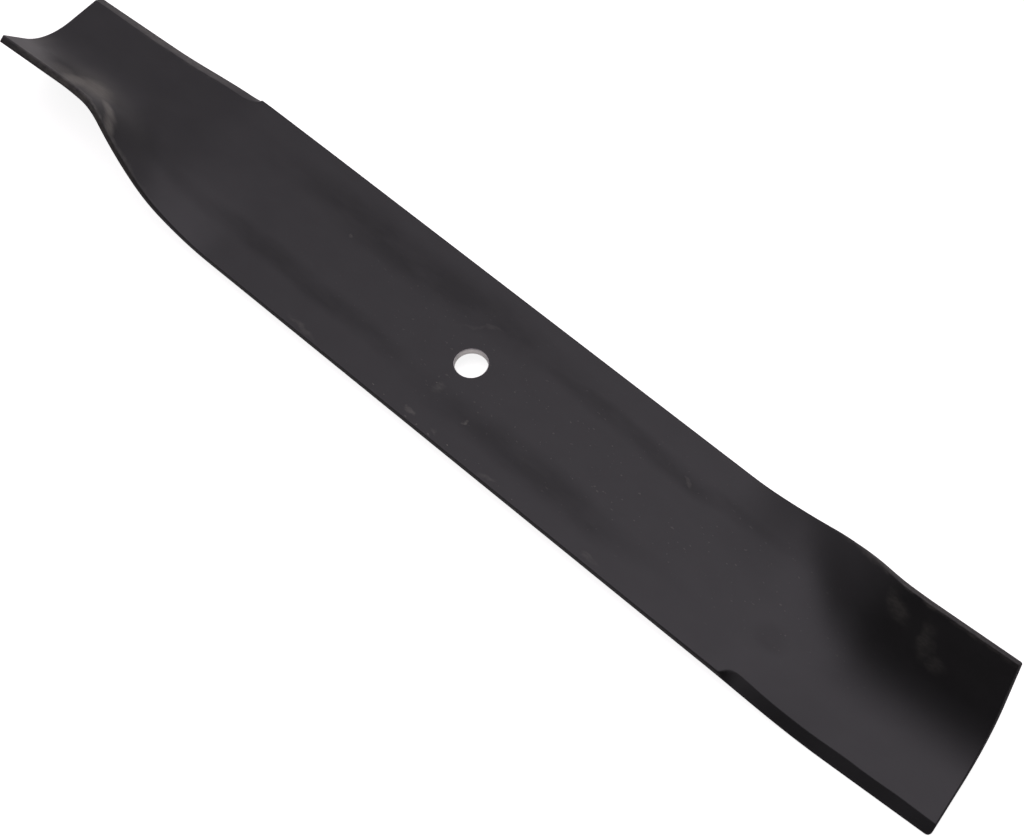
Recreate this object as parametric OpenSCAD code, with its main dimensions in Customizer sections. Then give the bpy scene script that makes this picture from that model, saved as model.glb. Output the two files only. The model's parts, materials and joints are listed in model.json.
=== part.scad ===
// Rotary mower blade: a flat steel bar with a bore in the middle, a ground
// cutting edge at each end and a pressed wing behind it that lifts the grass.
// X runs along the blade and Z points up. The origin lies on the axis of the
// bore, halfway through the plate. Both ends have one shape, half a turn apart.

/* [Bar] */
// Length over the two cutting corners, before they are rounded
blade_length = 495; // [480:1:540]
// Width of the bar
blade_width = 70; // [60:1:80]
// Thickness of the plate
plate_thick = 3.2; // [2.4:0.1:4.5]
// Broken corner along the long edges
edge_break = 0.4; // [0.2:0.1:0.6]

/* [Hub] */
// Bore for the spindle bolt
bore_d = 13; // [8:0.5:30]

/* [Cutting edge] */
// Distance from the bore to the start of the ground bevel
bevel_start = 153; // [140:1:165]
// Length over which the bevel runs out
bevel_runout = 9; // [4:1:14]
// Width of the bevel across the plate
bevel_width = 4.5; // [3:0.5:8]
// Thickness left at the cutting edge
edge_thick = 0.9; // [0.7:0.1:1.4]

/* [Wing] */
// Distance from the bore to the foot of the ramp on which the wing rises
ramp_foot = 128; // [115:1:140]
// Half the length of the curve at the foot of the ramp
foot_ease = 17.5; // [10:0.5:25]
// Distance from the bore to the head of the ramp
ramp_head = 184; // [175:1:200]
// Half the length of the curve at the head of the ramp
head_ease = 6; // [3:1:15]
// Angle that the wing turns up from the plate in front of it
wing_turn = 43; // [25:0.5:60]
// Distance from the cutting edge to the bend
bend_inset = 20; // [10:1:30]
// Width of the bend over the plate
bend_width = 32; // [15:1:45]

/* [Tip] */
// Angle at which the end leans, with its cutting edge down
lean_angle = 7.5; // [0:0.5:12]
// Distance from the bore to where the end begins to lean
lean_start = 147; // [135:1:160]
// Distance from the bore to where the end leans in full
lean_full = 203; // [180:1:220]
// Distance from the cutting edge to the line about which the end leans
lean_line = 34; // [20:1:55]
// Angle at which the end sweeps back
sweep_angle = 3.4; // [0:0.1:6]
// Distance from the bore to the middle of the sweep's curve
sweep_from = 172; // [160:1:200]
// Half the length of the sweep's curve
sweep_ease = 28; // [10:1:40]
// How much shorter the end is at the wing than at the cutting edge
tip_skew = 11; // [0:0.5:20]
// Rounding of the corners of the end
tip_corner = 2; // [1:0.5:3]

/* [Hidden] */
// Steps across the plate and along an end
cross_steps = 22;
rise_steps = 8;
runout_steps = 5;
cut_steps = 22;
// How far a cut runs past the faces it goes through
past_face = 1;
// Clear space between the bevel and the next line of points across the plate
bevel_margin = 1;
bore_facets = 96;

half_thick = plate_thick / 2;
tip_front = blade_length / 2;
// The plate is flat up to here on both sides of the bore
wing_start = ramp_foot - foot_ease;

function clamp01(u) = min(max(u, 0), 1);

// The distance past a place along the blade, eased in on a parabola
function eased_past(x, from, ease) =
    let (past = x - from)
    past < -ease ? 0 : past > ease ? past : (past + ease) * (past + ease) / (4 * ease);

// Share of the wing's turn: it grows along a ramp with an eased foot and head
function rise_share(x) =
    (eased_past(x, ramp_foot, foot_ease) - eased_past(x, ramp_head, head_ease)) / (ramp_head - ramp_foot);

// Share of the lean: it grows on an S-curve
function lean_share(x) =
    let (u = clamp01((x - lean_start) / (lean_full - lean_start)))
    u * u * (3 - 2 * u);

// How far a rounded corner falls short of a sharp one, by the distance from it
function rounded_off(from_edge) =
    let (left = max(tip_corner - from_edge, 0))
    tip_corner - sqrt(tip_corner * tip_corner - left * left);

// Place of the tip's outline, by the distance across the plate from the edge
function tip_x(across) =
    tip_front - tip_skew * across / blade_width
    - rounded_off(min(across, blade_width - across));

// A station along the blade, carried across the plate along with the tip
function carried_x(x, across) =
    wing_start + (x - wing_start) * (tip_x(across) - wing_start) / (tip_front - wing_start);

// A point of the formed plate. across runs over the developed plate from the
// cutting edge, up is the height above the middle of the plate's thickness.
function plate_point(station, across, up) =
    let (
        x = carried_x(station, across),
        lean = lean_angle * lean_share(x),
        // The plate is flat up to the bend, an arc through it and straight beyond
        past_bend = max(across - bend_inset, 0),
        flat = across - past_bend - lean_line,
        curved = min(past_bend, bend_width),
        straight = past_bend - curved,
        half_turn = wing_turn * rise_share(x) * curved / bend_width / 2,
        slope = lean + 2 * half_turn,
        chord = half_turn == 0 ? curved : curved * sin(half_turn) / (half_turn * PI / 180),
        chord_slope = lean + half_turn,
        y = flat * cos(lean) + chord * cos(chord_slope) + straight * cos(slope),
        z = flat * sin(lean) + chord * sin(chord_slope) + straight * sin(slope),
        sweep = tan(sweep_angle) * eased_past(x, sweep_from, sweep_ease)
    )
    [x, y - up * sin(slope) + lean_line - blade_width / 2 + sweep, z + up * cos(slope)];

// Share of the full bevel at a station: it runs out on a quarter circle
function bevel_share(x) =
    let (u = clamp01((x - bevel_start) / bevel_runout))
    sqrt(1 - (1 - u) * (1 - u));

function between(a, b, share) = a + (b - a) * share;

// Distances across the plate of the points between the two edges
inner_from = max(bevel_width, edge_break) + bevel_margin;
inner_across = [
    for (i = [0 : cross_steps]) between(inner_from, blade_width - edge_break, i / cross_steps)
];

// Points of one station, as [across, up], under the plate and over it
under_line = concat(
    [[0, edge_break - half_thick], [edge_break, -half_thick], [tip_corner, -half_thick]],
    [for (across = inner_across) [across, -half_thick]],
    [[blade_width, edge_break - half_thick]]
);
function over_line(x) =
    let (
        ground = bevel_share(x),
        low = [0, between(plate_thick - edge_break, edge_thick, ground) - half_thick],
        high = [between(edge_break, bevel_width, ground), half_thick]
    )
    concat(
        [low, (low + high) / 2, high],
        [for (across = inner_across) [across, half_thick]],
        [[blade_width, half_thick - edge_break]]
    );

// Stations along the cutting edge, closest where the bevel runs out
function steps(a, b, count) = [for (i = [0 : count - 1]) between(a, b, i / count)];
bevel_full = bevel_start + bevel_runout;
stations = concat(
    steps(wing_start, bevel_start, rise_steps),
    [for (i = [0 : runout_steps - 1]) bevel_start + bevel_runout * (1 - cos(90 * i / runout_steps))],
    steps(bevel_full, tip_front, cut_steps),
    [tip_front]
);

// One end: rings of points joined along the blade and closed at both ends
module formed_end() {
    side = len(under_line);
    ring = 2 * side;
    last = len(stations) - 1;
    points = [
        for (x = stations)
            each concat(
                [for (p = under_line) plate_point(x, p[0], p[1])],
                [for (p = over_line(x)) plate_point(x, p[0], p[1])]
            )
    ];
    // Numbers of the points round a ring: out under the plate, back over it
    round_order = concat([for (i = [0 : side - 1]) i], [for (i = [ring - 1 : -1 : side]) i]);
    walls = [
        for (k = [0 : last - 1], i = [0 : ring - 1])
            let (
                a = k * ring + round_order[i],
                b = k * ring + round_order[(i + 1) % ring]
            )
            each [[a, a + ring, b + ring], [a, b + ring, b]]
    ];
    // An end is a strip between the points under and over the plate
    function end_strip(k) = [
        for (i = [0 : side - 2])
            let (a = k * ring + i, b = a + side)
            each [[a, a + 1, b + 1], [a, b + 1, b]]
    ];
    function turned(faces) = [for (f = faces) [f[2], f[1], f[0]]];
    polyhedron(points, concat(walls, end_strip(0), turned(end_strip(last))), convexity = 4);
}

// The flat middle, with all four long corners broken
module flat_bar() {
    half_width = blade_width / 2;
    inner_half = half_width - edge_break;
    inner_up = half_thick - edge_break;
    corners = [
        [-half_width, -inner_up], [-inner_half, -half_thick], [inner_half, -half_thick], [half_width, -inner_up],
        [half_width, inner_up], [inner_half, half_thick], [-inner_half, half_thick], [-half_width, inner_up]
    ];
    rotate([90, 0, 90])
        linear_extrude(2 * wing_start, center = true)
            polygon(corners);
}

module blade() {
    color("#3a383a")
        difference() {
            union() {
                flat_bar();
                for (turn = [0, 180])
                    rotate(turn)
                        formed_end();
            }
            cylinder(h = plate_thick + 2 * past_face, d = bore_d, center = true, $fn = bore_facets);
        }
}

blade();
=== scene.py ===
"""Looks of the rotary mower blade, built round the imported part.

The steel blank is a plain mesh, cut to its outline, bored and ground while it is flat.
A node tree then presses its two ends to shape, by the same rule as the solid part.
"""
import json
import math

import bpy
from mathutils import Matrix, Vector


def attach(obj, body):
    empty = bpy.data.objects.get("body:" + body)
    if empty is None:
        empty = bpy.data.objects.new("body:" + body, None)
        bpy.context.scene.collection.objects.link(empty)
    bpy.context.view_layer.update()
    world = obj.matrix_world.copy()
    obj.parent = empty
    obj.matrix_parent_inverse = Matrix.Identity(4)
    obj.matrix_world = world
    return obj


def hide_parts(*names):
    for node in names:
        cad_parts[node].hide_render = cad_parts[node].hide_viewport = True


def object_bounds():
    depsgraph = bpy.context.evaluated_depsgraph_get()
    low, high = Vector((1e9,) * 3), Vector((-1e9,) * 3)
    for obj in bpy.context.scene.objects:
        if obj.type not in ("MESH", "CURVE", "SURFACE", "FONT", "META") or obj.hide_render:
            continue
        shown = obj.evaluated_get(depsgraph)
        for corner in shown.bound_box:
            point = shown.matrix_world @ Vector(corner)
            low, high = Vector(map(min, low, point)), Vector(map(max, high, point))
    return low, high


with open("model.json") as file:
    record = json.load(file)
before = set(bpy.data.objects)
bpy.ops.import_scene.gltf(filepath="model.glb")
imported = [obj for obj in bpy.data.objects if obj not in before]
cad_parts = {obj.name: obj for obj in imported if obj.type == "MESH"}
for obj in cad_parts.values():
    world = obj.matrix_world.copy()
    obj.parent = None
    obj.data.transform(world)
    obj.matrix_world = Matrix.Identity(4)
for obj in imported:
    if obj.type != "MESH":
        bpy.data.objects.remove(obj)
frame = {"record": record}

cad_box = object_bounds()

MM = 0.001

# The bore and the thickness of the plate come from the record, in mm like the blade's sizes below
bore = next(mount for mount in frame["record"]["mounts"] if mount["name"] == "spindle_bore")
BORE_R = bore["dims"]["r_mm"]
HALF_THICK = bore["dims"]["length_mm"] / 2

# Sizes of the solid part
BLADE_WIDTH = 70
HALF_WIDTH = BLADE_WIDTH / 2
TIP_FRONT = 495 / 2
TIP_SKEW = 11
BEVEL_START = 153
BEVEL_FULL = 162
BEVEL_WIDTH = 4.5
EDGE_THICK = 0.9
PRESS_SIZES = {
    "Blade width": BLADE_WIDTH,
    "Ramp foot": 128,
    "Foot ease": 17.5,
    "Ramp head": 184,
    "Head ease": 6,
    "Bend inset": 20,
    "Bend width": 32,
    "Lean start": 147,
    "Lean full": 203,
    "Lean line": 34,
    "Sweep from": 172,
    "Sweep ease": 28,
    # A crease that the solid part does not have
    "Crease along": 158.5,
    "Crease across": 50,
    "Crease length": 26,
    "Crease width": 9.5,
    "Crease depth": 1.5,
}
PRESS_ANGLES = {"Wing turn": 43, "Lean angle": 7.5, "Sweep angle": 3.4, "Crease angle": 46}
WING_START = PRESS_SIZES["Ramp foot"] - PRESS_SIZES["Foot ease"]

# Finer form of the real blade: rounded corners and edges, and a bevel that was ground by hand
CUTTING_CORNER = 2.2
WING_CORNER = 0.9
BAR_ROUND = 0.35
WING_ROUND = 0.7
TIP_ROUND = 0.3
RIM_ROUND = 0.3
BEVEL_LATE = 3
BEVEL_BREAK = 0.06
# Waves of the bevel's upper line: height, length over one radian, start in radians
BEVEL_WAVES = [(0.1, 6.1, 0), (0.16, 11.3, 1), (0.06, 3.7, 2)]

# Steps of the mesh
FINE_STEP = 1.5
COARSE_STEP = 2.5
CORNER_POINTS = 7
RUNOUT_STEPS = 14
# Points across the bevel, closest at its two edges
BEVEL_SHARES = [0, 0.04, 0.12, 0.25, 0.4, 0.6, 0.8, 0.95, 0.985]
# Lines of points that follow the long edges, and the first one that both faces share
EDGE_LINES = [2, 3.2, 4.3]
FACE_EDGE = 5.6
# The square patch round the bore and its rings
PATCH_HALF = 11
PATCH_CELLS = 16
PATCH_SHARES = [0.25, 0.5, 0.75]
RIM_POINTS = 5


def add_node(tree, kind, inputs=(), **settings):
    """Adds a node with its settings. Each input takes a value, a socket or the first output of a node."""
    node = tree.nodes.new(kind)
    for name, value in settings.items():
        setattr(node, name, value)
    for place, value in inputs.items() if isinstance(inputs, dict) else enumerate(inputs):
        if isinstance(value, bpy.types.Node):
            value = value.outputs[0]
        if isinstance(value, bpy.types.NodeSocket):
            tree.links.new(value, node.inputs[place])
        elif value is not None:
            node.inputs[place].default_value = value
    return node


def follow(tree, rule, values):
    """Works out a rule in nodes. One line is one step: its result, the operation and what it works on."""
    for result, operation, *used in rule:
        inputs = [values[name] if isinstance(name, str) else name for name in used]
        values[result] = add_node(tree, "ShaderNodeMath", inputs, operation=operation)


def linear(hex_colour):
    """An sRGB colour such as #3a383a as linear RGBA."""
    parts = [int(hex_colour[i:i + 2], 16) / 255 for i in (1, 3, 5)]
    return [p / 12.92 if p <= 0.04045 else ((p + 0.055) / 1.055) ** 2.4 for p in parts] + [1]


def between(a, b, share):
    return a + (b - a) * share


def steps(start, end, step):
    """Places from start to just before end, about one step apart."""
    count = max(round((end - start) / step), 1)
    return [between(start, end, i / count) for i in range(count)]


# The blank

def tip_x(across):
    """Outline of the tip: skewed, with a sharper corner at the wing than at the cutting edge."""
    radius = CUTTING_CORNER if across < HALF_WIDTH else WING_CORNER
    left = max(radius - min(across, BLADE_WIDTH - across), 0)
    rounded_off = radius - math.sqrt(radius ** 2 - left ** 2)
    return TIP_FRONT - TIP_SKEW * across / BLADE_WIDTH - rounded_off


def carried_x(station, across):
    """A station along the blade, carried across the plate along with the tip."""
    if station <= WING_START:
        return station
    return between(WING_START, tip_x(across), (station - WING_START) / (TIP_FRONT - WING_START))


def bevel_share(x):
    """Share of the full bevel: it runs out on a quarter circle, which starts later at the +X end."""
    start = BEVEL_START + (BEVEL_LATE if x > 0 else 0)
    left = min(max((BEVEL_FULL - abs(x)) / (BEVEL_FULL - start), 0), 1)
    return math.sqrt(1 - left ** 2)


def bevel_line(x):
    """Width of the bevel, which wanders a little along the edge and differs between the ends."""
    return BEVEL_WIDTH + sum(high * math.sin(x / length + start) for high, length, start in BEVEL_WAVES)


def quarter_round(radius):
    """Points of a rounded corner, as distances from its two sides."""
    turns = [math.pi / 2 * i / (CORNER_POINTS - 1) for i in range(CORNER_POINTS)]
    return [(radius * (1 - math.cos(turn)), radius * (1 - math.sin(turn))) for turn in turns]


def round_corner(x, face):
    """A rounded long edge and the lines that follow it on the face. On top of the bar it is sharper."""
    past = (abs(x) - WING_START) / (BEVEL_START - WING_START) if face > 0 else 1
    radius = between(BAR_ROUND, WING_ROUND, min(max(past, 0), 1))
    return quarter_round(radius) + [(line, 0) for line in [2 * radius, *EDGE_LINES]]


def ground_corner(x):
    """The upper corner at the cutting edge: rounded along the bar, ground to a bevel towards the tip."""
    width = bevel_line(x)
    drop = 2 * HALF_THICK - EDGE_THICK
    bevel = [(width * share, drop * (1 - share)) for share in BEVEL_SHARES]
    bevel += [(width + BEVEL_BREAK, 0), (width + 4 * BEVEL_BREAK, 0)]
    share = bevel_share(x)
    return [
        (between(a[0], b[0], share), between(a[1], b[1], share))
        for a, b in zip(round_corner(x, 1), bevel)
    ]


LINES_BEFORE_PATCH = steps(FACE_EDGE, HALF_WIDTH - PATCH_HALF, FINE_STEP)
FACE_LINES = (
    LINES_BEFORE_PATCH
    + steps(HALF_WIDTH - PATCH_HALF, HALF_WIDTH + PATCH_HALF, 2 * PATCH_HALF / PATCH_CELLS)
    + steps(HALF_WIDTH + PATCH_HALF, BLADE_WIDTH - FACE_EDGE, FINE_STEP)
    + [BLADE_WIDTH - FACE_EDGE]
)


def blank_row(x, thinned, face):
    """Points across one face of the blank, from -Y to +Y. face is 1 on top and -1 underneath."""
    row = ground_corner(x) if face > 0 else round_corner(x, face)
    row += [(across, 0) for across in FACE_LINES]
    row += [(BLADE_WIDTH - across, depth) for across, depth in reversed(round_corner(x, face))]
    side = 1 if x >= 0 else -1
    points = [
        (
            side * carried_x(abs(x), across),
            side * (across - HALF_WIDTH),
            face * (HALF_THICK - depth) * thinned,
        )
        for across, depth in row
    ]
    return points[::side]


def blank_stations():
    """Stations of one half, with the share of the thickness that the rounding of the tip leaves."""
    plain = steps(0, PATCH_HALF, 2 * PATCH_HALF / PATCH_CELLS)
    plain += steps(PATCH_HALF, WING_START, COARSE_STEP)
    plain += steps(WING_START, BEVEL_START, FINE_STEP)
    plain += [
        between(BEVEL_FULL, BEVEL_START, math.cos(math.pi / 2 * i / RUNOUT_STEPS))
        for i in range(RUNOUT_STEPS)
    ]
    plain += steps(BEVEL_FULL, TIP_FRONT - 2 * TIP_ROUND, FINE_STEP)
    plain += [TIP_FRONT - 2 * TIP_ROUND]
    rounded = [
        (TIP_FRONT - from_tip, 1 - from_face / HALF_THICK)
        for from_tip, from_face in reversed(quarter_round(TIP_ROUND))
    ]
    return [(station, 1) for station in plain] + rounded


def bore_profile():
    """Rings of half the bore: share of the way from the square to a circle, the circle's radius, depth."""
    rim = BORE_R + RIM_ROUND
    outer = rim + 2 * RIM_ROUND
    profile = [(share, outer, 0) for share in PATCH_SHARES]
    profile += [(1, outer, 0), (1, rim + RIM_ROUND / 2, 0)]
    for turn in (math.pi / 2 * i / (RIM_POINTS - 1) for i in range(RIM_POINTS)):
        profile.append((1, rim - RIM_ROUND * math.sin(turn), RIM_ROUND * (1 - math.cos(turn))))
    return profile


def add_bore(points, faces, top, under):
    """Adds the bore: rings of points from the square hole in the top face to the one underneath."""
    # The first corner of the square lies towards -X and -Y
    first_corner = math.radians(225)
    rings = [top]
    for face in (1, -1):
        for share, radius, depth in bore_profile()[::face]:
            rings.append(range(len(points), len(points) + len(top)))
            for number, point in enumerate(top):
                angle = first_corner + 2 * math.pi * number / len(top)
                circle = Vector((math.cos(angle), math.sin(angle))) * radius
                place = Vector(points[point][:2]).lerp(circle, share)
                points.append((place.x, place.y, face * (HALF_THICK - depth)))
    rings.append(under)
    for ring, following in zip(rings, rings[1:]):
        for a in range(len(ring)):
            b = (a + 1) % len(ring)
            faces.append([ring[a], ring[b], following[b], following[a]])


def blank_mesh():
    """The flat blank: two faces, their edges, the tips and the bore."""
    half = blank_stations()
    stations = [(-x, thinned) for x, thinned in half[:0:-1]] + half
    points = []
    faces = []
    rows = {}
    for face in (1, -1):
        for k, (x, thinned) in enumerate(stations):
            row = blank_row(x, thinned, face)
            rows[face, k] = range(len(points), len(points) + len(row))
            points += row
    width = len(rows[1, 0])
    last = len(stations) - 1
    first_line = len(round_corner(0, 1)) + len(LINES_BEFORE_PATCH)
    first_station = len(half) - 1 - PATCH_CELLS // 2
    patch_lines = range(first_line, first_line + PATCH_CELLS)
    patch_stations = range(first_station, first_station + PATCH_CELLS)

    # The two faces, without the patch round the bore
    for k in range(last):
        for i in range(width - 1):
            if i in patch_lines and k in patch_stations:
                continue
            top = [rows[1, k][i], rows[1, k + 1][i], rows[1, k + 1][i + 1], rows[1, k][i + 1]]
            under = [rows[-1, k][i], rows[-1, k + 1][i], rows[-1, k + 1][i + 1], rows[-1, k][i + 1]]
            faces += [top, under[::-1]]
        # The walls along the two long edges
        for i, turn in ((0, 1), (-1, -1)):
            wall = [rows[-1, k][i], rows[-1, k + 1][i], rows[1, k + 1][i], rows[1, k][i]]
            faces.append(wall[::turn])
    # The walls of the tips
    for k, turn in ((0, -1), (last, 1)):
        for i in range(width - 1):
            wall = [rows[-1, k][i], rows[-1, k][i + 1], rows[1, k][i + 1], rows[1, k][i]]
            faces.append(wall[::turn])

    # The outline of the patch, as stations and lines, and the bore in it
    corners = [
        (first_station, first_line),
        (first_station + PATCH_CELLS, first_line),
        (first_station + PATCH_CELLS, first_line + PATCH_CELLS),
        (first_station, first_line + PATCH_CELLS),
    ]
    square = []
    for corner, following in zip(corners, corners[1:] + corners[:1]):
        for i in range(PATCH_CELLS):
            square.append([round(between(a, b, i / PATCH_CELLS)) for a, b in zip(corner, following)])
    add_bore(points, faces, *([rows[face, k][i] for k, i in square] for face in (1, -1)))

    mesh = bpy.data.meshes.new("blank")
    mesh.from_pydata([Vector(point) * MM for point in points], [], faces)
    mesh.validate()
    return mesh


# The press

def eased_past(result, place, ease):
    """Steps of a rule for the distance past a place along the blade, eased in on a parabola."""
    return [
        (f"{result} start", "SUBTRACT", place, ease),
        (f"{result} way", "SUBTRACT", "along", f"{result} start"),
        (f"{result} from 0", "MAXIMUM", f"{result} way", 0),
        (f"{result} curve", "MULTIPLY", ease, 2),
        (f"{result} in curve", "MINIMUM", f"{result} from 0", f"{result} curve"),
        (f"{result} beyond", "SUBTRACT", f"{result} from 0", f"{result} in curve"),
        (f"{result} squared", "MULTIPLY", f"{result} in curve", f"{result} in curve"),
        (f"{result} flatness", "MULTIPLY", ease, 4),
        (f"{result} eased", "DIVIDE", f"{result} squared", f"{result} flatness"),
        (result, "ADD", f"{result} eased", f"{result} beyond"),
    ]


# A turn of nothing has no chord, so the rule works with this many radians at least
LEAST_TURN = 0.0001

PRESS_RULE = [
    ("turned round", "LESS_THAN", "x", 0),
    ("side", "MULTIPLY_ADD", "turned round", -2, 1),
    ("along", "ABSOLUTE", "x"),
    ("half width", "MULTIPLY", "Blade width", 0.5),
    ("across", "MULTIPLY_ADD", "y", "side", "half width"),
    # The press leaves a soft crease that runs slanting from the foot of the wing to the bend
    ("crease x", "SUBTRACT", "along", "Crease along"),
    ("crease y", "SUBTRACT", "across", "Crease across"),
    ("cos crease", "COSINE", "Crease angle"),
    ("sin crease", "SINE", "Crease angle"),
    ("crease off x", "MULTIPLY", "crease x", "sin crease"),
    ("crease off", "MULTIPLY_ADD", "crease y", "cos crease", "crease off x"),
    ("crease run y", "MULTIPLY", "crease y", "sin crease"),
    ("crease run x", "MULTIPLY", "crease x", "cos crease"),
    ("crease run", "SUBTRACT", "crease run x", "crease run y"),
    ("crease off share", "DIVIDE", "crease off", "Crease width"),
    ("crease run share", "DIVIDE", "crease run", "Crease length"),
    ("crease off fade", "POWER", "crease off share", 2),
    ("crease run fade", "POWER", "crease run share", 4),
    ("crease fade", "ADD", "crease off fade", "crease run fade"),
    ("crease fall", "MULTIPLY", "crease fade", -1),
    ("crease share", "EXPONENT", "crease fall"),
    ("crease sink", "MULTIPLY", "crease share", "Crease depth"),
    ("up", "SUBTRACT", "z", "crease sink"),
    # The wing turns up along a ramp with an eased foot and head
    *eased_past("past foot", "Ramp foot", "Foot ease"),
    *eased_past("past head", "Ramp head", "Head ease"),
    ("ramp", "SUBTRACT", "past foot", "past head"),
    ("ramp length", "SUBTRACT", "Ramp head", "Ramp foot"),
    ("rise", "DIVIDE", "ramp", "ramp length"),
    ("turn", "MULTIPLY", "Wing turn", "rise"),
    # The end leans, on an S-curve
    ("lean way", "SUBTRACT", "along", "Lean start"),
    ("lean length", "SUBTRACT", "Lean full", "Lean start"),
    ("lean part", "DIVIDE", "lean way", "lean length"),
    ("lean from 0", "MAXIMUM", "lean part", 0),
    ("lean share", "MINIMUM", "lean from 0", 1),
    ("lean squared", "MULTIPLY", "lean share", "lean share"),
    ("lean levelling", "MULTIPLY_ADD", "lean share", -2, 3),
    ("lean curve", "MULTIPLY", "lean squared", "lean levelling"),
    ("lean", "MULTIPLY", "Lean angle", "lean curve"),
    # The plate is flat up to the bend, an arc through it and straight beyond
    ("bend way", "SUBTRACT", "across", "Bend inset"),
    ("past bend", "MAXIMUM", "bend way", 0),
    ("before bend", "SUBTRACT", "across", "past bend"),
    ("flat", "SUBTRACT", "before bend", "Lean line"),
    ("curved", "MINIMUM", "past bend", "Bend width"),
    ("straight", "SUBTRACT", "past bend", "curved"),
    ("curved share", "DIVIDE", "curved", "Bend width"),
    ("arc turn", "MULTIPLY", "turn", "curved share"),
    ("half turn", "MULTIPLY", "arc turn", 0.5),
    ("some turn", "MAXIMUM", "half turn", LEAST_TURN),
    ("sin half turn", "SINE", "some turn"),
    ("chord share", "DIVIDE", "sin half turn", "some turn"),
    ("chord", "MULTIPLY", "curved", "chord share"),
    ("chord slope", "ADD", "lean", "half turn"),
    ("slope", "ADD", "lean", "arc turn"),
    ("cos lean", "COSINE", "lean"),
    ("sin lean", "SINE", "lean"),
    ("cos chord", "COSINE", "chord slope"),
    ("sin chord", "SINE", "chord slope"),
    ("cos slope", "COSINE", "slope"),
    ("sin slope", "SINE", "slope"),
    ("flat y", "MULTIPLY", "flat", "cos lean"),
    ("arc y", "MULTIPLY_ADD", "chord", "cos chord", "flat y"),
    ("plate y", "MULTIPLY_ADD", "straight", "cos slope", "arc y"),
    ("thick y", "MULTIPLY", "up", "sin slope"),
    ("face y", "SUBTRACT", "plate y", "thick y"),
    ("leaned y", "ADD", "face y", "Lean line"),
    ("flat z", "MULTIPLY", "flat", "sin lean"),
    ("arc z", "MULTIPLY_ADD", "chord", "sin chord", "flat z"),
    ("plate z", "MULTIPLY_ADD", "straight", "sin slope", "arc z"),
    ("pressed z", "MULTIPLY_ADD", "up", "cos slope", "plate z"),
    # The end sweeps back
    *eased_past("past sweep", "Sweep from", "Sweep ease"),
    ("sweep rate", "TANGENT", "Sweep angle"),
    ("swept y", "MULTIPLY_ADD", "past sweep", "sweep rate", "leaned y"),
    ("centred y", "SUBTRACT", "swept y", "half width"),
    ("pressed y", "MULTIPLY", "centred y", "side"),
]


def press_tree():
    """The node tree that presses the ends of the blank and gives it its coat."""
    tree = bpy.data.node_groups.new("pressed ends", "GeometryNodeTree")
    tree.interface.new_socket("Blank", in_out="INPUT", socket_type="NodeSocketGeometry")
    for name in [*PRESS_SIZES, *PRESS_ANGLES]:
        tree.interface.new_socket(name, in_out="INPUT", socket_type="NodeSocketFloat")
    tree.interface.new_socket("Coat", in_out="INPUT", socket_type="NodeSocketMaterial")
    tree.interface.new_socket("Blade", in_out="OUTPUT", socket_type="NodeSocketGeometry")
    given = add_node(tree, "NodeGroupInput")
    position = add_node(tree, "GeometryNodeInputPosition")
    split = add_node(tree, "ShaderNodeSeparateXYZ", [position])
    values = {socket.name: socket for socket in given.outputs if socket.name}
    values |= dict(zip("xyz", split.outputs))
    follow(tree, PRESS_RULE, values)
    pressed = add_node(tree, "ShaderNodeCombineXYZ", [values["x"], values["pressed y"], values["pressed z"]])
    marked = add_node(
        tree, "GeometryNodeStoreNamedAttribute",
        {"Geometry": given.outputs["Blank"], "Name": "blank", "Value": position},
        data_type="FLOAT_VECTOR",
    )
    moved = add_node(tree, "GeometryNodeSetPosition", {"Geometry": marked, "Position": pressed})
    smooth = add_node(tree, "GeometryNodeSetShadeSmooth", {"Geometry": moved})
    whole = add_node(tree, "GeometryNodeRealizeInstances", {"Geometry": smooth})
    coated = add_node(
        tree, "GeometryNodeSetMaterial", {"Geometry": whole, "Material": given.outputs["Coat"]}
    )
    add_node(tree, "NodeGroupOutput", [coated])
    return tree


def make_blade(coat):
    """The blank, pressed to shape and made a plain mesh that stands for the solid part."""
    blade = bpy.data.objects.new("pressed_blade", blank_mesh())
    bpy.context.scene.collection.objects.link(blade)
    press = blade.modifiers.new("press", "NODES")
    press.node_group = press_tree()
    values = {name: size * MM for name, size in PRESS_SIZES.items()}
    values |= {name: math.radians(angle) for name, angle in PRESS_ANGLES.items()}
    values["Coat"] = coat
    for socket in press.node_group.interface.items_tree:
        if socket.name in values:
            press[socket.identifier] = values[socket.name]
    evaluated = blade.evaluated_get(bpy.context.evaluated_depsgraph_get())
    blade.data = bpy.data.meshes.new_from_object(evaluated)
    blade.modifiers.clear()
    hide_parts("blade")
    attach(blade, "root")


# Materials

COAT = "#242424"
# Pale colour of paint wear, also painted on as highlights and reflections
PALE_WEAR_AND_HIGHLIGHT = "#89877d"
BARE_STEEL = "#faf8f5"

# How strongly the coat mirrors
COAT_IOR = 1.5
COAT_SHINE = 0.4

# Roughness of the faces, and what streaks, long edges and tips add to it
FACE_ROUGH = 0.38
STREAK_ROUGH = 0.05
EDGE_ROUGH = 0.24
TIP_ROUGH = 0.4

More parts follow.
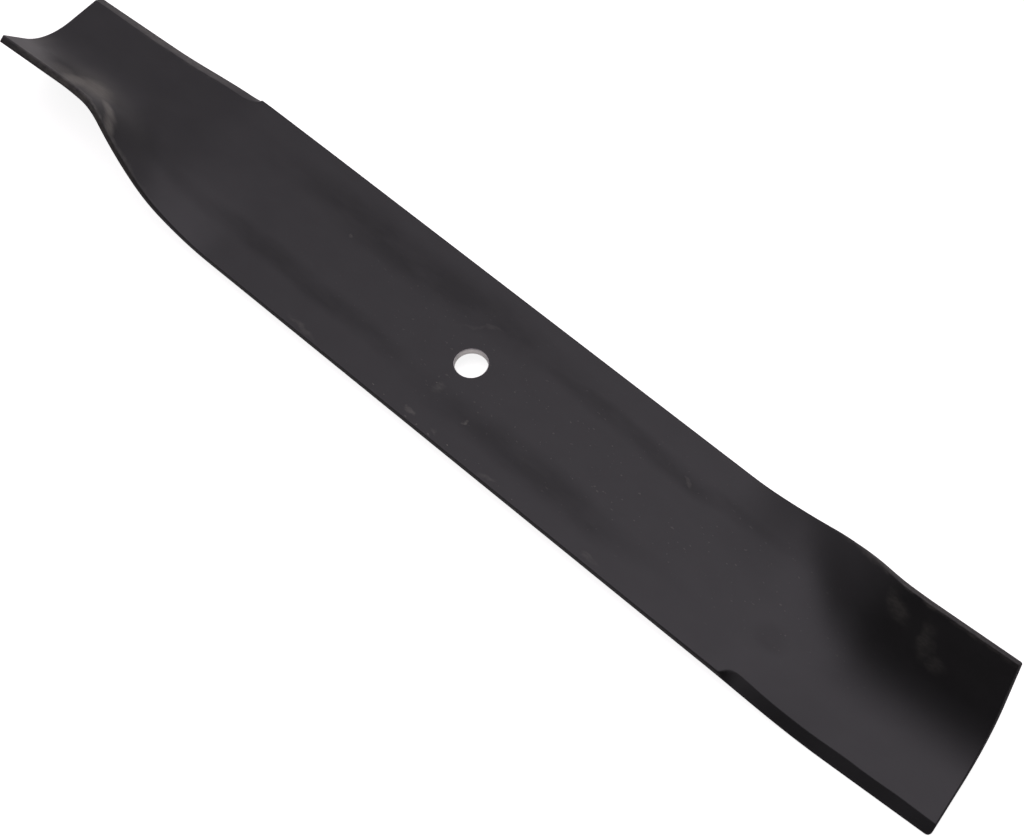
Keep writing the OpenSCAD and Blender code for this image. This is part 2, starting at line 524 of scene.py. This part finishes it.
# Marks on the flat blank: place, half length and half width, turn in degrees, strength
STREAKS = [
    (-45, 20.5, 115, 13, 0, 1),
    (-80, -17, 100, 7, 0, 0.95),
    (72, 18, 85, 6, 0, 0.95),
    (48, -18, 85, 10, 0, 0.95),
    (160, -12, 10, 7, 0, 0.4),
]
DRAG_WEAR_AND_HIGHLIGHT = [
    # A hook on the wing of the -X end: paint wear where the press dragged over it, with a painted highlight
    # of its crease
    (-197, -19.5, 19, 12, -45, 0.62),
    (-201.5, -26, 16, 9, -78, 0.64),
    (-182.5, -26.3, 11, 3.8, -24, 0.6),
    (-175, -32, 7, 3, -30, 0.5),
    (-210, -25, 16, 10, -60, 0.2),
    # Painted highlight: the hook's haze, and the glow of the wing towards the tip
    (-200, -18, 28, 17, -45, 0.14),
    (-225, -22, 32, 15, -10, 0.05),
    (-240, -12, 18, 6, 80, 0.09),
]
RUB_WEAR_AND_HIGHLIGHTS = [
    # The wing of the +X end
    (190, 26.5, 9, 4.5, -34, 0.15),
    (205, 22, 10, 4.5, -73, 0.15),
    (212, 17, 6, 4, 0, 0.11),
    # Painted highlights: the bevel of the -X end, and the trailing edges of both wings
    (-203, 33, 56, 4, 0, 0.25),
    (-195, -35, 62, 2.4, 0, 0.28),
    (195, 35, 62, 2.4, 0, 0.2),
    # Scuffs on the bar
    (-59, -32.2, 11, 2, -3, 0.14),
    (-1, -15.8, 4.5, 3.5, 85, 0.14),
    (-8, 15, 13, 1.1, 35, 0.07),
    (-2.4, -31.3, 3.5, 1.2, 0, 0.25),
    (11.4, -31.6, 2.2, 1.2, -20, 0.2),
    (40, -32.5, 4.5, 1.5, 7, 0.13),
    (90.5, -32.3, 4, 1.8, -6, 0.11),
    (95.5, 16.8, 4, 1.4, -37, 0.2),
    (16.5, -20.3, 1.4, 1.2, 0, 0.3),
    (-77, 11, 1.6, 1.4, 0, 0.2),
]
SPECK_WEAR_AND_HIGHLIGHT = [
    (20, -32.3, 75, 3, 0, 0.55),
    (86, 28, 14, 2.2, 0, 0.4),
    (158, 3, 34, 16, -46, 0.15),
    (0, -16, 16, 8, 60, 0.35),
    (60, 0, 190, 34, 0, 0.15),
    # Painted highlight: bright grain on the bevel of the -X end
    (-203, 33, 52, 3.6, 0, 0.35),
]
# Share of a mark's size over which it keeps its full strength
MARK_CORE = 0.2

# How far noise shifts the outlines of the drag mark, the scuffs and the painted highlights, in mm
DRAG_AND_HIGHLIGHT_RAGGED = 1.6
RUB_AND_HIGHLIGHT_RAGGED = 4

# Noise over the blank: length and width of its cells in mm, the levels that it runs between,
# its results at these levels, and its detail
NOISES = {
    "streak wander": ((60, 60), (0.2, 0.8), (-3.5, 3.5), 3),
    "streak patches": ((24, 8), (0.35, 0.6), (0.5, 1), 3),
    "ragged x": ((5, 5), (0.2, 0.8), (-0.5, 0.5), 3),
    "ragged y": ((7, 4), (0.2, 0.8), (-0.5, 0.5), 3),
    "drag grain": ((2.4, 1.2), (0.38, 0.62), (0.8, 1), 3),
    "rub grain": ((2.4, 1.2), (0.38, 0.62), (0.45, 1), 3),
    "speck grain": ((1.8, 1.2), (0.72, 0.77), (0, 1), 1),
    "mottle": ((14, 9), (0.3, 0.7), (0.92, 1.12), 3),
}

# Measures of a place on the blank, for its marks and its zones
PLACE_RULE = [
    ("streak y", "ADD", "across", "streak wander"),
    ("drag x", "MULTIPLY_ADD", "ragged x", DRAG_AND_HIGHLIGHT_RAGGED, "along"),
    ("drag y", "MULTIPLY_ADD", "ragged y", DRAG_AND_HIGHLIGHT_RAGGED, "across"),
    ("rub x", "MULTIPLY_ADD", "ragged x", RUB_AND_HIGHLIGHT_RAGGED, "along"),
    ("rub y", "MULTIPLY_ADD", "ragged y", RUB_AND_HIGHLIGHT_RAGGED, "across"),
    ("across squared", "MULTIPLY", "across", "across"),
    ("from axis squared", "MULTIPLY_ADD", "along", "along", "across squared"),
    ("from axis", "SQRT", "from axis squared"),
    ("off middle", "ABSOLUTE", "across"),
    ("skewed", "MULTIPLY_ADD", "across", TIP_SKEW / BLADE_WIDTH, "along"),
    ("reach", "ABSOLUTE", "skewed"),
]

# Marks by kind, with the measures that place them
MARKS = {
    "streak marks": (STREAKS, "along", "streak y"),
    "drag marks": (DRAG_WEAR_AND_HIGHLIGHT, "drag x", "drag y"),
    "rub marks": (RUB_WEAR_AND_HIGHLIGHTS, "rub x", "rub y"),
    "speck marks": (SPECK_WEAR_AND_HIGHLIGHT, "along", "across"),
}

# Zones of the blank: a measure, where the zone starts and where it holds in full
TIP_REACH = TIP_FRONT - TIP_SKEW / 2
ZONES = {
    "upper side": ("height", -HALF_THICK, -HALF_THICK / 2),
    "bore wall": ("from axis", BORE_R + RIM_ROUND, BORE_R + RIM_ROUND / 3),
    "long edge": ("off middle", HALF_WIDTH - BAR_ROUND, HALF_WIDTH),
    "tip edge": ("reach", TIP_REACH - TIP_ROUND, TIP_REACH),
}

COAT_RULE = [
    ("streaks", "MULTIPLY", "streak marks", "streak patches"),
    ("depth", "SUBTRACT", "mottle", "streaks"),
    # Wear and painted highlights, on the upper side only
    ("drags", "MULTIPLY", "drag marks", "drag grain"),
    ("rubs", "MULTIPLY", "rub marks", "rub grain"),
    ("specks", "MULTIPLY", "speck marks", "speck grain"),
    ("drags and rubs", "MAXIMUM", "drags", "rubs"),
    ("all rubbed", "MAXIMUM", "drags and rubs", "specks"),
    ("rubbed", "MULTIPLY", "all rubbed", "upper side"),
    # The streaks and the sheared edges are duller than the faces
    ("face roughness", "MULTIPLY_ADD", "streaks", STREAK_ROUGH, FACE_ROUGH),
    ("side roughness", "MULTIPLY_ADD", "long edge", EDGE_ROUGH, "face roughness"),
    ("roughness", "MULTIPLY_ADD", "tip edge", TIP_ROUGH, "side roughness"),
]


def marks(tree, place, spots):
    """Soft oval marks, as one mask from 0 to 1."""
    mask = 0
    for x, y, length, width, turn, strength in spots:
        local = add_node(
            tree, "ShaderNodeMapping",
            {"Vector": place, "Location": (x, y, 0), "Rotation": (0, 0, math.radians(turn)),
             "Scale": (length, width, 1)},
            vector_type="TEXTURE",
        )
        distance = add_node(tree, "ShaderNodeVectorMath", [local], operation="LENGTH")
        oval = add_node(
            tree, "ShaderNodeMapRange", [distance.outputs["Value"], MARK_CORE, 1, strength, 0],
            interpolation_type="SMOOTHSTEP",
        )
        mask = add_node(tree, "ShaderNodeMath", [mask, oval], operation="MAXIMUM")
    return mask


def satin_black_coat():
    """Satin black coat on rolled steel: a soft sheen with dull rolling streaks, pale with wear from
    handling, and painted highlights on the wings, bevel and edges.
    """
    material = bpy.data.materials.new("satin black coat on rolled steel")
    material.use_nodes = True
    tree = material.node_tree
    shader = tree.nodes["Principled BSDF"]
    blank = add_node(tree, "ShaderNodeAttribute", attribute_name="blank").outputs["Vector"]
    place = add_node(tree, "ShaderNodeVectorMath", {0: blank, "Scale": 1 / MM}, operation="SCALE")
    split = add_node(tree, "ShaderNodeSeparateXYZ", [place])
    values = dict(zip(("along", "across", "height"), split.outputs))
    for name, ((length, width), levels, results, detail) in NOISES.items():
        cells = add_node(
            tree, "ShaderNodeVectorMath", [place, (1 / length, 1 / width, 1 / width)], operation="MULTIPLY"
        )
        cloud = add_node(tree, "ShaderNodeTexNoise", {"Vector": cells, "Scale": 1, "Detail": detail})
        values[name] = add_node(tree, "ShaderNodeMapRange", [cloud, *levels, *results])
    follow(tree, PLACE_RULE, values)
    for name, (spots, x, y) in MARKS.items():
        mark_place = add_node(tree, "ShaderNodeCombineXYZ", [values[x], values[y]])
        values[name] = marks(tree, mark_place, spots)
    for name, (measure, start, full) in ZONES.items():
        values[name] = add_node(tree, "ShaderNodeMapRange", [values[measure], start, full, 0, 1])
    follow(tree, COAT_RULE, values)

    # The coat, pale with wear and with painted highlights, and the bright bore that was cut through it
    coat = add_node(
        tree, "ShaderNodeVectorMath", {0: linear(COAT)[:3], "Scale": values["depth"]}, operation="SCALE"
    )
    coat_with_wear_and_highlights = add_node(tree, "ShaderNodeMixRGB", [values["rubbed"], coat, linear(PALE_WEAR_AND_HIGHLIGHT)])
    colour = add_node(tree, "ShaderNodeMixRGB", [values["bore wall"], coat_with_wear_and_highlights, linear(BARE_STEEL)])
    tree.links.new(colour.outputs[0], shader.inputs["Base Color"])
    tree.links.new(values["bore wall"].outputs[0], shader.inputs["Metallic"])
    tree.links.new(values["roughness"].outputs[0], shader.inputs["Roughness"])
    shader.inputs["IOR"].default_value = COAT_IOR
    shader.inputs["Specular IOR Level"].default_value = COAT_SHINE
    return material


STUDIO_PAPER = "#d2cfcc"

# How bright the paper glows to the eye and in the blade's gloss
DIRECT_GLOW = 0.88
GLOSS_GLOW = 0.18
GLOW_RULE = [
    ("seen", "ADD", "Is Camera Ray", "Is Transmission Ray"),
    ("direct", "MULTIPLY", "seen", DIRECT_GLOW),
    ("glow", "MULTIPLY_ADD", "Is Glossy Ray", GLOSS_GLOW, "direct"),
]


def studio_floor_white():
    """Matt studio paper: white to the eye, darker in the blade's gloss, and it takes a faint shadow."""
    material = bpy.data.materials.new("matt white studio paper")
    material.use_nodes = True
    tree = material.node_tree
    shader = tree.nodes["Principled BSDF"]
    shader.inputs["Base Color"].default_value = linear(STUDIO_PAPER)
    shader.inputs["Roughness"].default_value = 1
    shader.inputs["Specular IOR Level"].default_value = 0
    shader.inputs["Emission Color"].default_value = (1, 1, 1, 1)
    path = add_node(tree, "ShaderNodeLightPath")
    values = {socket.name: socket for socket in path.outputs}
    follow(tree, GLOW_RULE, values)
    tree.links.new(values["glow"].outputs[0], shader.inputs["Emission Strength"])
    return material


# The scene

# Side of the square floor, in metres
FLOOR_SIZE = 8

# The dome: a broad light behind the blade, which a grey card cuts off towards the horizon.
# An edge is a pair of cosines between which the light or the card comes in.
KEY_COLOUR = (1.03, 0.95, 1.05, 1)
KEY_DIRECTION = (-0.627, 0.469, 0.623)
KEY_STRENGTH = 1.87
KEY_EDGE = (0.195, 0.94)
CARD_DIRECTION = (-0.856, 0.457, -0.244)
CARD_SHARE = 0.784
CARD_EDGE = (0.162, 0.462)
FILL_STRENGTH = 0.006


def make_floor():
    """A wide sheet of paper under the lowest point of the part."""
    low = cad_box[0][2]
    half = FLOOR_SIZE / 2
    corners = [(-half, -half, low), (half, -half, low), (half, half, low), (-half, half, low)]
    mesh = bpy.data.meshes.new("floor")
    mesh.from_pydata(corners, [], [(0, 1, 2, 3)])
    mesh.materials.append(studio_floor_white())
    floor = bpy.data.objects.new("floor", mesh)
    bpy.context.scene.collection.objects.link(floor)


def make_light():
    """The dome light, as strengths by direction."""
    world = bpy.data.worlds.new("soft studio")
    bpy.context.scene.world = world
    world.use_nodes = True
    tree = world.node_tree
    direction = add_node(tree, "ShaderNodeTexCoord").outputs["Generated"]
    lobes = []
    for centre, edge, levels in (
        (KEY_DIRECTION, KEY_EDGE, (0, KEY_STRENGTH)),
        (CARD_DIRECTION, CARD_EDGE, (1, 1 - CARD_SHARE)),
    ):
        toward = add_node(
            tree, "ShaderNodeVectorMath", [direction, Vector(centre).normalized()], operation="DOT_PRODUCT"
        )
        lobes.append(add_node(
            tree, "ShaderNodeMapRange",
            [toward.outputs["Value"], *edge, *levels],
            interpolation_type="SMOOTHSTEP",
        ))
    level = add_node(tree, "ShaderNodeMath", [*lobes, FILL_STRENGTH], operation="MULTIPLY_ADD")
    tree.links.new(level.outputs[0], tree.nodes["Background"].inputs["Strength"])
    tree.nodes["Background"].inputs["Color"].default_value = KEY_COLOUR


# The camera: places in mm, roll in degrees, lens in mm
CAMERA_PLACE = (407.4, -381.0, 828.8)
CAMERA_AIM = (27.88, -6.77, 0)
CAMERA_ROLL = -2.04
CAMERA_LENS = 92.11


def make_camera():
    """The camera of the photo, fitted to the outline of the blade."""
    data = bpy.data.cameras.new("camera")
    data.lens = CAMERA_LENS
    data.sensor_fit = "HORIZONTAL"
    camera = bpy.data.objects.new("camera", data)
    bpy.context.scene.collection.objects.link(camera)
    place = Vector(CAMERA_PLACE) * MM
    look = Vector(CAMERA_AIM) * MM - place
    turn = look.to_track_quat("-Z", "Y").to_matrix() @ Matrix.Rotation(math.radians(CAMERA_ROLL), 3, "Z")
    camera.matrix_world = Matrix.Translation(place) @ turn.to_4x4()
    bpy.context.scene.camera = camera


bpy.context.scene.view_settings.view_transform = "Standard"
make_camera()
make_light()
make_floor()
make_blade(satin_black_coat())
